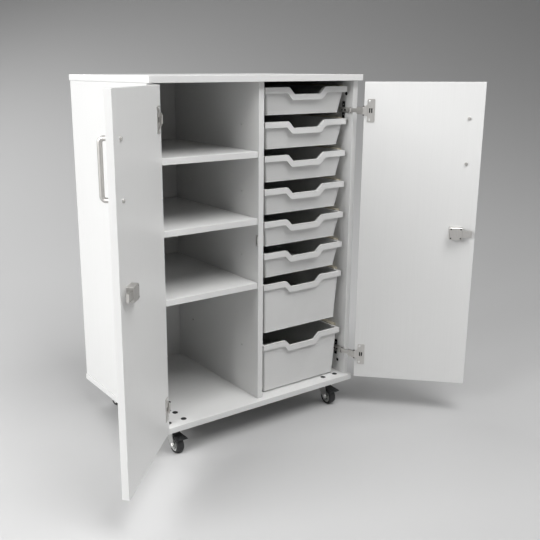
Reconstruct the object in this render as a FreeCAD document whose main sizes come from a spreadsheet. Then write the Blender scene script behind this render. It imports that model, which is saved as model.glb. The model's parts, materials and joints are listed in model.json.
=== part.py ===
import FreeCAD, Part
import Sketcher
import math
import os
import re

# Driving dimensions, in millimetres and degrees.
SIZES = {
    # carcass boards
    "top_width": 729,
    "top_depth": 514,
    "board": 18,
    "back_board": 18,
    "shelf_board": 18,
    "body_height": 991,
    "side_overhang": 2.5,
    "rear_overhang": 2,
    "base_setback": 2,
    "divider_setback": 3,
    "shelf_setback": 3,
    "shelf_gap": 0.6,
    "edge_ease": 0.8,
    # shelves and their pins
    "upper_shelf_drop": 211,
    "middle_shelf_drop": 405.5,
    "lower_shelf_drop": 600,
    "pin_diameter": 5,
    "pin_fit": 0.1,
    "pin_seat": 9,
    "pin_reach": 9,
    "pin_hole_depth": 10,
    "pin_front": 107.5,
    "pin_rear_inset": 91,
    "spare_hole_rise": 71.5,
    "base_hole_rise": 153,
    # cam fittings that draw the sides to the top and the base
    "cam_diameter": 12,
    "cam_depth": 12.5,
    "cam_sink": 1,
    "cam_fit": 0.1,
    "cam_setback": 32.5,
    "cam_rise": 39.5,
    # doors
    "door_reveal": 9.5,
    "door_thickness": 18,
    "door_top_gap": 3,
    "door_base_gap": 5,
    "door_meeting_gap": 3,
    "door_proud": 1,
    "door_shut_gap": 1.7,
    "door_open": 135,
    "pivot_out": 6.8,
    "pivot_forward": 22.3,
    # concealed hinges
    "low_hinge": 79,
    "high_hinge_drop": 85,
    "cup_inset": 17.5,
    "cup_diameter": 27,
    "cup_depth": 11.5,
    "cup_bore_depth": 12,
    "cup_fit": 0.1,
    "cup_rim": 0.8,
    "cup_mouth_near": 15,
    "cup_mouth_width": 10,
    "cup_mouth_height": 14,
    "cup_wall": 1.5,
    "cup_pin": 3,
    "cup_pin_sink": 1.7,
    "flange_sheet": 1.2,
    "flange_near": 9.5,
    "flange_width": 22.5,
    "flange_height": 69,
    "flange_corner": 3,
    "arm_depth": 13,
    "arm_length": 46,
    "arm_sheet": 1.6,
    "arm_pin_in": 7,
    "arm_pin_back": 3.8,
    "arm_pin_diameter": 3,
    "arm_nose": 3.3,
    "wing_sheet": 2,
    "wing_height": 51,
    "wing_width": 11,
    "wing_setback": 41,
    "wing_base": 40,
    "wing_slot": 5.5,
    "wing_slot_length": 15,
    "wing_slot_round": 2.5,
    "wing_slot_spread": 31,
    "link_height": 12,
    "link_sheet": 4,
    "link_eye": 3.3,
    "link_play": 0.3,
    "link_block_start": 26,
    "link_block_gap": 2,
    "link_block_sheet": 5.2,
    "link_block_height": 22,
    "foot_sheet": 2.4,
    "foot_lift": 0.5,
    "foot_overhang": 1.5,
    "foot_length": 11,
    "foot_narrow": 23,
    "foot_wide": 33,
    "running_fit": 0.05,
    # bow handles
    "handle_bar": 12,
    "handle_centres": 134,
    "handle_projection": 29,
    "handle_bend": 9,
    "handle_inset": 42,
    "handle_middle": 775,
    "bolt_shank": 4,
    "bolt_head": 10,
    "bolt_head_height": 3,
    "bolt_hole_fit": 0.5,
    "bolt_thread_length": 9,
    "bolt_thread_fit": 0.05,
    # rim locks
    "lock_middle": 495.5,
    "lock_inset": 78,
    "lock_width": 39,
    "lock_height": 38,
    "lock_depth": 18,
    "lock_corner": 3,
    "lock_bevel": 1.2,
    "lock_screw": 5,
    "lock_screw_depth": 4,
    "lock_screw_inset": 5,
    "latch_reach": 28,
    "latch_tail": 34,
    "latch_height": 20.5,
    "latch_sheet": 7,
    "latch_back": 8.5,
    "latch_play": 0.3,
    "barrel_diameter": 18,
    "barrel_fit": 0.2,
    "rosette_diameter": 24,
    "rosette_sheet": 2,
    "plug_diameter": 12,
    "plug_length": 14,
    "plug_proud": 1,
    "keyway_width": 2,
    "keyway_height": 8,
    "keyway_depth": 10,
    # strike plates on the divider
    "strike_height": 34,
    "strike_width": 13,
    "strike_sheet": 1.5,
    "strike_play": 0.8,
    "mortise_depth": 7.5,
    # trays on runners
    "tray_setback": 33.5,
    "tray_rear_gap": 33.5,
    "tray_drop": 35,
    "tray_pitch": 97,
    "shallow_height": 78.5,
    "shallow_draft": 13.2,
    "deep_height": 158,
    "deep_draft": 7.7,
    "tray_wall": 2.2,
    "tray_corner": 5,
    "tray_foot": 3,
    "rim_overhang": 6.2,
    "rim_sheet": 2.5,
    "rim_corner": 4,
    "band_height": 17,
    "band_sheet": 2.5,
    "dip_top": 68.5,
    "dip_base": 49,
    "dip_depth": 20,
    "dip_round": 9,
    "dip_spread": 6.5,
    "dip_margin": 12,
    "runner_thick": 11,
    "runner_rear_gap": 47.8,
    "runner_wing_gap": 1,
    "runner_ledge": 4.5,
    "runner_lip": 3.5,
    "runner_sheet": 2.5,
    "runner_play": 1.5,
    "runner_lift": 0.3,
    # swivel castors
    "castor_height": 80,
    "castor_inset": 72,
    "castor_setback": 57,
    "castor_plate": 68,
    "castor_plate_sheet": 2.5,
    "castor_plate_corner": 6,
    "castor_bolt_spread": 50,
    "castor_bolt": 8,
    "castor_bolt_head": 14.2,
    "castor_bolt_head_height": 10,
    "castor_nut": 13,
    "castor_nut_height": 6,
    "castor_bolt_fit": 0.2,
    "counterbore": 15,
    "counterbore_depth": 12,
    "kingpin": 10,
    "kingpin_head": 16,
    "kingpin_head_height": 2.5,
    "swivel_play": 0.4,
    "race_diameter": 44,
    "fork_gap": 27,
    "fork_sheet": 2.5,
    "fork_crown": 64,
    "fork_crown_reach": 22,
    "fork_toe": 7,
    "fork_shoulder": 6,
    "castor_trail": 25,
    "wheel_diameter": 50,
    "wheel_width": 24,
    "tyre_depth": 6.2,
    "tyre_round": 4,
    "hub_rim": 3.3,
    "hub_rim_width": 20,
    "hub_web": 6,
    "hub_boss": 14,
    "hub_boss_width": 25,
    "hub_hole": 7.2,
    "hub_hole_circle": 22.6,
    "axle_diameter": 8,
    "axle_head": 13,
    "axle_head_height": 3,
    # brake pedals of the front castors
    "pedal_pivot_back": 15,
    "pedal_pivot_height": 57,
    "pedal_pin": 4,
    "pedal_hub": 8,
    "pedal_play": 0.4,
    "pedal_reach": 57,
    "pedal_fall": 9.2,
    "pedal_sheet": 3,
    "pedal_tip": 38,
    "pedal_neck": 30,
    "pedal_flare": 20,
    "shoe_start": 21,
    "shoe_end": 30,
    "shoe_width": 16,
    "shoe_gap": 1.6,
}

# Places that follow from the driving dimensions.
PLACES = {
    "top_z": "castor_height + body_height",
    "ceiling_z": "top_z - board",
    "deck_z": "castor_height + board",
    "side_out": "top_width / 2 - side_overhang",
    "side_in": "side_out - board",
    "divider_half": "board / 2",
    "hinge_edge": "side_out - door_reveal",
    "door_width": "hinge_edge - door_meeting_gap / 2",
    "lock_near": "door_width - lock_inset",
    "latch_end": "lock_near + lock_width + latch_reach",
    "latch_front": "latch_back + latch_sheet",
    # the open door, turned about its pivot
    "open_in": "pivot_forward * sin(door_open) + pivot_out * cos(door_open)",
    "open_forward": "pivot_out * sin(door_open) - pivot_forward * cos(door_open)",
    "latch_lead": "latch_end * sin(door_open) - latch_front * cos(door_open)",
    "door_lead": "door_width * sin(door_open)",
    "pivot_lead": "pivot_forward + door_proud - door_thickness + open_forward",
    "front_reach": "pivot_lead + max(latch_lead; door_lead)",
    # the middle of the whole plan, doors open, is at zero
    "front_y": "(front_reach - top_depth) / 2",
    "shut_y": "front_y - door_proud + door_thickness",
    "pivot_x": "hinge_edge + pivot_out",
    "pivot_y": "shut_y - pivot_forward",
    "open_x": "pivot_x - open_in",
    "open_y": "pivot_y - open_forward",
    "side_y": "shut_y + door_shut_gap",
    "divider_y": "side_y + divider_setback",
    "shelf_y": "divider_y + shelf_setback",
    "rear_y": "front_y + top_depth - rear_overhang",
    "back_y": "rear_y - back_board",
    "pin_rear": "back_y - front_y - pin_rear_inset",
    "door_z": "deck_z + door_base_gap",
    "door_height": "ceiling_z - door_top_gap - door_z",
    "high_hinge": "door_height - high_hinge_drop",
    "wing_y": "side_y + wing_setback",
    "arm_pin_x": "side_in - arm_pin_in",
    "arm_pin_y": "side_y + arm_pin_back",
    "arm_inside": "link_height / 2 + link_play",
    "arm_outside": "arm_inside + arm_sheet",
    # the link bends at the door's edge, and its foot lies on the cup while the door is open
    "link_bend_out": "flange_sheet + foot_lift + foot_sheet / 2",
    "link_dx": "open_x + foot_overhang * cos(door_open) - link_bend_out * sin(door_open) - arm_pin_x",
    "link_dy": "open_y + foot_overhang * sin(door_open) + link_bend_out * cos(door_open) - arm_pin_y",
    "link_length": "sqrt(link_dx ^ 2 + link_dy ^ 2)",
    "link_swing": "atan2(link_dy; link_dx)",
    "foot_turn": "door_open * 1 deg - 180 deg - link_swing",
    "foot_end": "link_length + foot_length * cos(foot_turn)",
    "link_block_end": "link_length - link_block_gap",
    "lock_far": "lock_near + lock_width",
    "lock_centre": "lock_near + lock_width / 2",
    "lock_z": "door_z + lock_middle",
    "strike_y": "shut_y + latch_back + latch_sheet / 2",
    "handle_s": "door_width - handle_inset",
    "handle_low": "handle_middle - handle_centres / 2",
    "handle_high": "handle_middle + handle_centres / 2",
    "handle_face": "-door_thickness",
    "tray_x": "(divider_half + side_in) / 2",
    "tray_y": "front_y + tray_setback",
    "tray_width": "side_in - divider_half - 2 * (runner_thick + runner_play)",
    "tray_depth": "back_y - tray_rear_gap - tray_y",
    "tub_half": "tray_width / 2 - rim_overhang",
    "runner_y": "wing_y + wing_width / 2 + runner_wing_gap",
    "runner_length": "back_y - runner_rear_gap - runner_y",
    "runner_reach": "runner_thick + runner_play + runner_ledge",
    "runner_cover": "runner_thick + runner_play + runner_lip",
    "castor_x": "top_width / 2 - castor_inset",
    "castor_front": "front_y + base_setback + castor_setback",
    "castor_rear": "rear_y - castor_setback",
    "wheel_radius": "wheel_diameter / 2",
    "fork_half": "fork_gap / 2",
    "fork_out": "fork_half + fork_sheet",
    "crown_top": "fork_crown + fork_sheet",
    "plate_z": "castor_height - castor_plate_sheet",
    "tyre_seat": "wheel_radius - tyre_depth",
    "pedal_half": "fork_half - pedal_play",
    "pedal_top": "pedal_pivot_height + pedal_hub / 2",
    "pedal_base": "pedal_top - pedal_sheet",
}

SHELVES = {
    "upper_shelf": "upper_shelf_drop",
    "middle_shelf": "middle_shelf_drop",
    "lower_shelf": "lower_shelf_drop",
}
HANDS = {"left": -1, "right": 1}
# Runner rows from the top: the deep trays take two rows each.
SHALLOW_ROWS = [0, 1, 2, 3, 4, 5]
DEEP_ROWS = [6, 8]
CASTORS = {
    "front_left": (-1, "castor_front"),
    "front_right": (1, "castor_front"),
    "rear_left": (-1, "castor_rear"),
    "rear_right": (1, "castor_rear"),
}
HUB_HOLES = 5

WORD = re.compile(r"[a-z_]+")
PLANE_ROLES = {"flat": "XY_Plane", "front": "XZ_Plane", "side": "YZ_Plane"}

doc = FreeCAD.newDocument("StorageCabinet")
sheet = doc.addObject("Spreadsheet::Sheet", "Sizes")
working = doc.addObject("Spreadsheet::Sheet", "Working")
pieces = []


def fill_sheet():
    cells = {name: str(size) for name, size in SIZES.items()}
    cells.update({name: "=" + formula for name, formula in PLACES.items()})
    for row, (name, content) in enumerate(cells.items(), 1):
        sheet.set(f"A{row}", name)
        sheet.set(f"B{row}", content)
        sheet.setAlias(f"B{row}", name)
    doc.recompute()


def in_sheet(formula):
    def cell(word):
        name = word.group()
        return "Sizes." + name if name in SIZES or name in PLACES else name

    return WORD.sub(cell, formula)


def number(formula):
    working.set("A1", "=" + in_sheet(formula))
    working.recompute()
    result = working.get("A1")
    return float(getattr(result, "Value", result))


def bind(thing, path, formula):
    thing.setExpression(path, in_sheet(formula))


# Sketches

def new_body(label):
    body = doc.addObject("PartDesign::Body", label)
    body.Label = label
    body.AllowCompound = True
    pieces.append(body)
    return body


def sketch_at(body, name, plane, level):
    sketch = body.newObject("Sketcher::SketchObject", name)
    role = PLANE_ROLES[plane]
    sketch.AttachmentSupport = [(next(f for f in body.Origin.OriginFeatures if f.Role == role), "")]
    sketch.MapMode = "FlatFace"
    bind(sketch, "AttachmentOffset.Base.z", f"-({level})" if plane == "front" else level)
    return sketch


def constrain(sketch, formula, kind, *where):
    index = sketch.addConstraint(Sketcher.Constraint(kind, *where, number(formula)))
    bind(sketch, f"Constraints[{index}]", formula)


def locate(sketch, geometry, end, x, y):
    constrain(sketch, x, "DistanceX", -1, 1, geometry, end)
    constrain(sketch, y, "DistanceY", -1, 1, geometry, end)


def corner_bend(before, corner, after, radius):
    toward_before = (before - corner).normalize()
    toward_after = (after - corner).normalize()
    half = toward_before.getAngle(toward_after) / 2
    middle = (toward_before + toward_after).normalize()
    centre = corner + middle * (radius / math.sin(half))
    tangent_length = radius / math.tan(half)
    start = corner + toward_before * tangent_length
    end = corner + toward_after * tangent_length
    return start, centre - middle * radius, end


def outline(sketch, corners, closed=True):
    # Each corner is x and y, with a radius where it is rounded.
    points = [FreeCAD.Vector(number(corner[0]), number(corner[1])) for corner in corners]
    count = len(corners)
    bends = {}
    for i, corner in enumerate(corners):
        if len(corner) == 3:
            bends[i] = corner_bend(points[i - 1], points[i], points[(i + 1) % count], number(corner[2]))
    lines = {}
    for i in range(count if closed else count - 1):
        after = (i + 1) % count
        start = bends[i][2] if i in bends else points[i]
        end = bends[after][0] if after in bends else points[after]
        lines[i] = sketch.addGeometry(Part.LineSegment(start, end))
    for i, corner in enumerate(corners):
        arriving = lines.get((i - 1) % count)
        leaving = lines.get(i)
        if i in bends:
            round_corner(sketch, corner, points[i], bends[i], arriving, leaving)
        elif leaving is None:
            locate(sketch, arriving, 2, *corner)
        else:
            if arriving is not None:
                sketch.addConstraint(Sketcher.Constraint("Coincident", arriving, 2, leaving, 1))
            locate(sketch, leaving, 1, *corner)


def round_corner(sketch, corner, point, bend, arriving, leaving):
    arc = sketch.addGeometry(Part.Arc(*bend))
    gaps = [sketch.getPoint(arc, end).distanceToPoint(bend[0]) for end in (1, 2)]
    first = 1 if gaps[0] < gaps[1] else 2
    apex = sketch.addGeometry(Part.Point(point), True)
    locate(sketch, apex, 1, corner[0], corner[1])
    sketch.addConstraint(Sketcher.Constraint("PointOnObject", apex, 1, arriving))
    sketch.addConstraint(Sketcher.Constraint("PointOnObject", apex, 1, leaving))
    sketch.addConstraint(Sketcher.Constraint("Tangent", arriving, 2, arc, first))
    sketch.addConstraint(Sketcher.Constraint("Tangent", arc, 3 - first, leaving, 1))
    constrain(sketch, corner[2], "Radius", arc)


def circles(sketch, centres, diameter):
    for x, y in centres:
        centre = FreeCAD.Vector(number(x), number(y))
        circle = sketch.addGeometry(Part.Circle(centre, FreeCAD.Vector(0, 0, 1), number(diameter) / 2))
        locate(sketch, circle, 3, x, y)
        constrain(sketch, diameter, "Diameter", circle)


def rectangle(x_low, x_high, y_low, y_high, radius=None):
    corners = [(x_low, y_low), (x_high, y_low), (x_high, y_high), (x_low, y_high)]
    return [corner + (radius,) for corner in corners] if radius else corners


# Features: each spans a stretch of the axis that its plane faces

def pad(body, sketch, plane, start, end):
    feature = body.newObject("PartDesign::Pad", "Pad")
    feature.Profile = sketch
    feature.Reversed = plane == "front"
    bind(feature, "Length", f"({end}) - ({start})")
    return feature


def prism(body, plane, start, end, corners):
    sketch = sketch_at(body, "Profile", plane, start)
    outline(sketch, corners)
    return pad(body, sketch, plane, start, end)


def rods(body, plane, start, end, centres, diameter):
    sketch = sketch_at(body, "Rounds", plane, start)
    circles(sketch, centres, diameter)
    return pad(body, sketch, plane, start, end)


def pocket(body, sketch, start, end):
    feature = body.newObject("PartDesign::Pocket", "Pocket")
    feature.Profile = sketch
    bind(feature, "Length", f"({end}) - ({start})")
    return feature


def recess(body, plane, start, end, corners):
    sketch = sketch_at(body, "Recess", plane, start if plane == "front" else end)
    outline(sketch, corners)
    return pocket(body, sketch, start, end)


def drill(body, plane, start, end, centres, diameter):
    sketch = sketch_at(body, "Holes", plane, start if plane == "front" else end)
    circles(sketch, centres, diameter)
    return pocket(body, sketch, start, end)


def loft(body, kind, sections):
    sketches = []
    for level, corners in sections:
        sketches.append(sketch_at(body, "Section", "flat", level))
        outline(sketches[-1], corners)
    feature = body.newObject(kind, "Loft")
    feature.Profile = sketches[0]
    feature.Sections = sketches[1:]
    feature.Ruled = True
    return feature


def turned(body, corners):
    # A profile of x along the axle and radius from it.
    sketch = sketch_at(body, "HalfSection", "front", "0")
    outline(sketch, corners)
    feature = body.newObject("PartDesign::Revolution", "Turned")
    feature.Profile = sketch
    feature.ReferenceAxis = (sketch, ["H_Axis"])
    feature.Angle = 360
    return feature


def ease_edges(body):
    feature = body.newObject("PartDesign::Chamfer", "EasedEdges")
    feature.Base = (body.Tip if feature is not body.Tip else feature.BaseFeature, [""])
    feature.UseAllEdges = True
    bind(feature, "Size", "edge_ease")
    return feature


def place(thing, x, y, z, turn=None):
    bind(thing, ".Placement.Base.x", x)
    bind(thing, ".Placement.Base.y", y)
    bind(thing, ".Placement.Base.z", z)
    if turn:
        bind(thing, ".Placement.Rotation.Angle", turn)


# Carcass

def eased_board(label, plane, start, end, corners):
    body = new_body(label)
    prism(body, plane, start, end, corners)
    doc.recompute()
    ease_edges(body)
    return body


def bolt_centres(x, y):
    half = "castor_bolt_spread / 2"
    return [(f"{x} {i} {half}", f"{y} {j} {half}") for i in "+-" for j in "+-"]


def all_bolt_centres():
    return [centre for sign, y in CASTORS.values() for centre in bolt_centres(f"{sign} * castor_x", y)]


def shelf_under(drop):
    return f"top_z - {drop} - shelf_board"


def pin_heights():
    return [f"{shelf_under(drop)} - pin_diameter / 2" for drop in SHELVES.values()]


def pin_hole_centres():
    heights = pin_heights() + [f"top_z - {drop} + spare_hole_rise" for drop in SHELVES.values()]
    heights.append("deck_z + base_hole_rise")
    return [(f"front_y + {y}", z) for y in ("pin_front", "pin_rear") for z in heights]


def cam_centres():
    ys = ["side_y + cam_setback", "back_y - cam_setback"]
    zs = ["deck_z + cam_rise", "ceiling_z - cam_rise"]
    return [(y, z) for y in ys for z in zs]


def make_carcass():
    plan = rectangle("-top_width / 2", "top_width / 2", "front_y", "front_y + top_depth")
    eased_board("top_panel", "flat", "ceiling_z", "top_z", plan)

    plan = rectangle("-top_width / 2", "top_width / 2", "front_y + base_setback", "front_y + top_depth")
    base = eased_board("bottom_panel", "flat", "castor_height", "deck_z", plan)
    drill(base, "flat", "deck_z - counterbore_depth", "deck_z", all_bolt_centres(), "counterbore")
    bolt_hole = "castor_bolt + 2 * castor_bolt_fit"
    drill(base, "flat", "castor_height", "deck_z", all_bolt_centres(), bolt_hole)

    upright = rectangle("side_y", "rear_y", "deck_z", "ceiling_z")
    left = eased_board("left_side_panel", "side", "-side_out", "-side_in", upright)
    pin_hole = "pin_diameter + 2 * pin_fit"
    drill(left, "side", "-side_in - pin_hole_depth", "-side_in", pin_hole_centres(), pin_hole)
    drill(left, "side", "-side_in - cam_depth", "-side_in", cam_centres(), "cam_diameter")
    right = eased_board("right_side_panel", "side", "side_in", "side_out", upright)
    drill(right, "side", "side_in", "side_in + cam_depth", cam_centres(), "cam_diameter")

    upright = rectangle("divider_y", "back_y", "deck_z", "ceiling_z")
    divider = eased_board("centre_divider", "side", "-divider_half", "divider_half", upright)
    drill(divider, "side", "-divider_half", "pin_hole_depth - divider_half", pin_hole_centres(), pin_hole)
    for sign in HANDS.values():
        cut_mortise(divider, sign)

    back = rectangle("-side_in", "side_in", "deck_z", "ceiling_z")
    eased_board("back_panel", "front", "back_y", "rear_y", back)

    plan = rectangle("shelf_gap - side_in", "-divider_half - shelf_gap", "shelf_y", "back_y - shelf_gap")
    for label, drop in SHELVES.items():
        eased_board(label, "flat", shelf_under(drop), f"top_z - {drop}", plan)


def outward(sign, near, far):
    # A stretch of x measured from the middle plane towards one hand.
    return (near, far) if sign > 0 else (f"-({far})", f"-({near})")


def around(y_middle, width, z_middle, height, radius=None):
    ys = (f"{y_middle} - {width} / 2", f"{y_middle} + {width} / 2")
    return rectangle(*ys, f"{z_middle} - {height} / 2", f"{z_middle} + {height} / 2", radius)


def strike_slot():
    width = "(latch_sheet + 2 * strike_play)"
    height = "(latch_height + 2 * strike_play)"
    return around("strike_y", width, "lock_z", height)


def cut_mortise(divider, sign):
    seat = outward(sign, "divider_half - strike_sheet", "divider_half")
    recess(divider, "side", *seat, around("strike_y", "strike_width", "lock_z", "strike_height"))
    recess(divider, "side", *outward(sign, "divider_half - mortise_depth", "divider_half"), strike_slot())


def make_strike_plates():
    body = new_body("strike_plates")
    for sign in HANDS.values():
        seat = outward(sign, "divider_half - strike_sheet", "divider_half")
        prism(body, "side", *seat, around("strike_y", "strike_width", "lock_z", "strike_height"))
        recess(body, "side", *seat, strike_slot())


def make_shelf_pins():
    body = new_body("shelf_pins")
    centres = [(f"front_y + {y}", z) for y in ("pin_front", "pin_rear") for z in pin_heights()]
    rods(body, "side", "-side_in - pin_seat", "pin_reach - side_in", centres, "pin_diameter")
    rods(body, "side", "-divider_half - pin_reach", "pin_seat - divider_half", centres, "pin_diameter")


def make_cam_fittings():
    body = new_body("cam_fittings")
    for sign in HANDS.values():
        seat = outward(sign, "side_in + cam_sink", "side_in + cam_depth")
        rods(body, "side", *seat, cam_centres(), "cam_diameter - 2 * cam_fit")


def rim_height(row):
    return f"top_z - tray_drop - {row} * tray_pitch"


def make_tray_runners():
    body = new_body("tray_runners")
    for row in SHALLOW_ROWS + DEEP_ROWS:
        ledge = f"{rim_height(row)} - rim_sheet - runner_lift"
        lip = f"{rim_height(row)} + runner_lift"
        for wall, inward in (("side_in", "-"), ("divider_half", "+")):
            profile = [
                (wall, f"{ledge} - runner_sheet"),
                (f"{wall} {inward} runner_reach", f"{ledge} - runner_sheet"),
                (f"{wall} {inward} runner_reach", ledge),
                (f"{wall} {inward} runner_thick", ledge),
                (f"{wall} {inward} runner_thick", lip),
                (f"{wall} {inward} runner_cover", lip),
                (f"{wall} {inward} runner_cover", f"{lip} + runner_sheet"),
                (wall, f"{lip} + runner_sheet"),
            ]
            prism(body, "front", "runner_y", "runner_y + runner_length", profile)


# Trays

def tub_plan(inset):
    half = f"tub_half - ({inset})"
    front = f"rim_overhang + {inset}"
    rear = f"tray_depth - rim_overhang - ({inset})"
    return rectangle(f"-({half})", half, front, rear, "tray_corner")


def dip_line(drop, spread):
    top = f"dip_top + {spread}"
    base = f"dip_base + {spread}"
    return [
        (f"-({top})", f"-({drop})", "dip_round"),
        (f"-({base})", f"-dip_depth - ({drop})", "dip_round"),
        (base, f"-dip_depth - ({drop})", "dip_round"),
        (top, f"-({drop})", "dip_round"),
    ]


def dip_strip(half, drop, spread):
    upper = [(f"-({half})", "0")] + dip_line("0", "0") + [(half, "0")]
    lower = [(half, f"-({drop})")] + dip_line(drop, spread)[::-1] + [(f"-({half})", f"-({drop})")]
    return upper + lower


def make_tray(label, row, height, draft):
    body = new_body(label)
    half = "tray_width / 2"
    prism(body, "flat", "-rim_sheet", "0", rectangle(f"-{half}", half, "0", "tray_depth", "rim_corner"))
    tub = loft(body, "PartDesign::AdditiveLoft", [("0", tub_plan("0")), (f"-{height}", tub_plan(draft))])
    doc.recompute()
    foot = body.newObject("PartDesign::Fillet", "Foot")
    foot_edges = [f"Edge{i}" for i, edge in enumerate(tub.Shape.Edges, 1)
                  if edge.BoundBox.ZMax < number(f"-{height}") + number("tray_wall")]
    foot.Base = (tub, foot_edges)
    bind(foot, "Radius", "tray_foot")

    # The front of the rim dips in the middle, and a band hangs from it as a grip.
    margin = "dip_top + dip_margin"
    above = [(margin, "dip_margin"), (f"-({margin})", "dip_margin")]
    front_wall = f"rim_overhang + {draft} + tray_wall"
    mouth = [(f"-({margin})", "0")] + dip_line("0", "0") + [(margin, "0")] + above
    recess(body, "front", "0", front_wall, mouth)
    prism(body, "front", "0", front_wall, dip_strip(margin, "rim_sheet", "0"))
    prism(body, "front", "0", "band_sheet", dip_strip(half, "band_height", "dip_spread"))

    inside = f"tray_wall + {draft} * (1 - tray_wall / {height})"
    hollow = [("dip_margin", tub_plan(f"tray_wall - {draft} * dip_margin / {height}")),
              (f"tray_wall - {height}", tub_plan(inside))]
    loft(body, "PartDesign::SubtractiveLoft", hollow)
    place(body, "tray_x", "tray_y", rim_height(row))


def make_trays():
    for i, row in enumerate(SHALLOW_ROWS, 1):
        make_tray(f"shallow_tray_{i}", row, "shallow_height", "shallow_draft")
    for i, row in enumerate(DEEP_ROWS, 1):
        make_tray(f"deep_tray_{i}", row, "deep_height", "deep_draft")


# Doors: each piece is drawn from the hinge edge of the inner face, then hung on the open door

def across(sign, reach):
    return f"-({reach})" if sign > 0 else reach


def hang(body, sign):
    place(body, f"{sign} * open_x", "open_y", "door_z", f"{sign} * door_open")


def hinge_heights():
    return ["low_hinge", "high_hinge"]


def door_span(sign, near, far):
    return (f"-({far})", f"-({near})") if sign > 0 else (near, far)


def make_door(hand, sign):
    door = eased_board(f"{hand}_door", "front", "-door_thickness", "0",
                       rectangle("0", across(sign, "door_width"), "0", "door_height"))
    cups = [(across(sign, "cup_inset"), z) for z in hinge_heights()]
    drill(door, "front", "-cup_bore_depth", "0", cups, "cup_diameter")
    bolts = [(across(sign, "handle_s"), z) for z in ("handle_low", "handle_high")]
    drill(door, "front", "-door_thickness", "0", bolts, "bolt_shank + 2 * bolt_hole_fit")
    barrel = [(across(sign, "lock_centre"), "lock_middle")]
    drill(door, "front", "-door_thickness", "0", barrel, "barrel_diameter + 2 * barrel_fit")
    hang(door, sign)


def make_handle(hand, sign):
    bar = new_body(f"{hand}_handle")
    path = sketch_at(bar, "Path", "side", across(sign, "handle_s"))
    grip = "handle_face - handle_projection"
    outline(path, [
        ("handle_face", "handle_low"),
        (grip, "handle_low", "handle_bend"),
        (grip, "handle_high", "handle_bend"),
        ("handle_face", "handle_high"),
    ], closed=False)
    section = sketch_at(bar, "BarSection", "front", "handle_face")
    circles(section, [(across(sign, "handle_s"), "handle_low")], "handle_bar")
    sweep = bar.newObject("PartDesign::AdditivePipe", "Bow")
    sweep.Profile = section
    sweep.Spine = path
    doc.recompute()
    feet = [(across(sign, "handle_s"), z) for z in ("handle_low", "handle_high")]
    thread = "bolt_shank + 2 * bolt_thread_fit"
    drill(bar, "front", "handle_face - bolt_thread_length", "handle_face", feet, thread)
    hang(bar, sign)

    bolts = new_body(f"{hand}_handle_bolts")
    rods(bolts, "front", "0", "bolt_head_height", feet, "bolt_head")
    rods(bolts, "front", "handle_face - bolt_thread_length", "0", feet, "bolt_shank")
    hang(bolts, sign)


def make_hinge_cups(hand, sign):
    cups = new_body(f"{hand}_hinge_cups")
    near = across(sign, "flange_near")
    far = across(sign, "flange_near + flange_width")
    for z in hinge_heights():
        centre = [(across(sign, "cup_inset"), z)]
        half = "flange_height / 2"
        rods(cups, "front", "-cup_depth", "0", centre, "cup_diameter - 2 * cup_fit")
        rods(cups, "front", "0", "flange_sheet", centre, "cup_diameter + 2 * cup_rim")
        flange = rectangle(near, far, f"{z} - {half}", f"{z} + {half}", "flange_corner")
        prism(cups, "front", "0", "flange_sheet", flange)
        mouth = rectangle(across(sign, "cup_mouth_near"), across(sign, "cup_mouth_near + cup_mouth_width"),
                          f"{z} - cup_mouth_height / 2", f"{z} + cup_mouth_height / 2")
        recess(cups, "front", "cup_wall - cup_depth", "flange_sheet", mouth)
        pin = [(across(sign, "cup_mouth_near + cup_mouth_width / 2"), "-cup_pin_sink")]
        rods(cups, "flat", f"{z} - cup_mouth_height / 2", f"{z} + cup_mouth_height / 2", pin, "cup_pin")
    hang(cups, sign)


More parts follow.
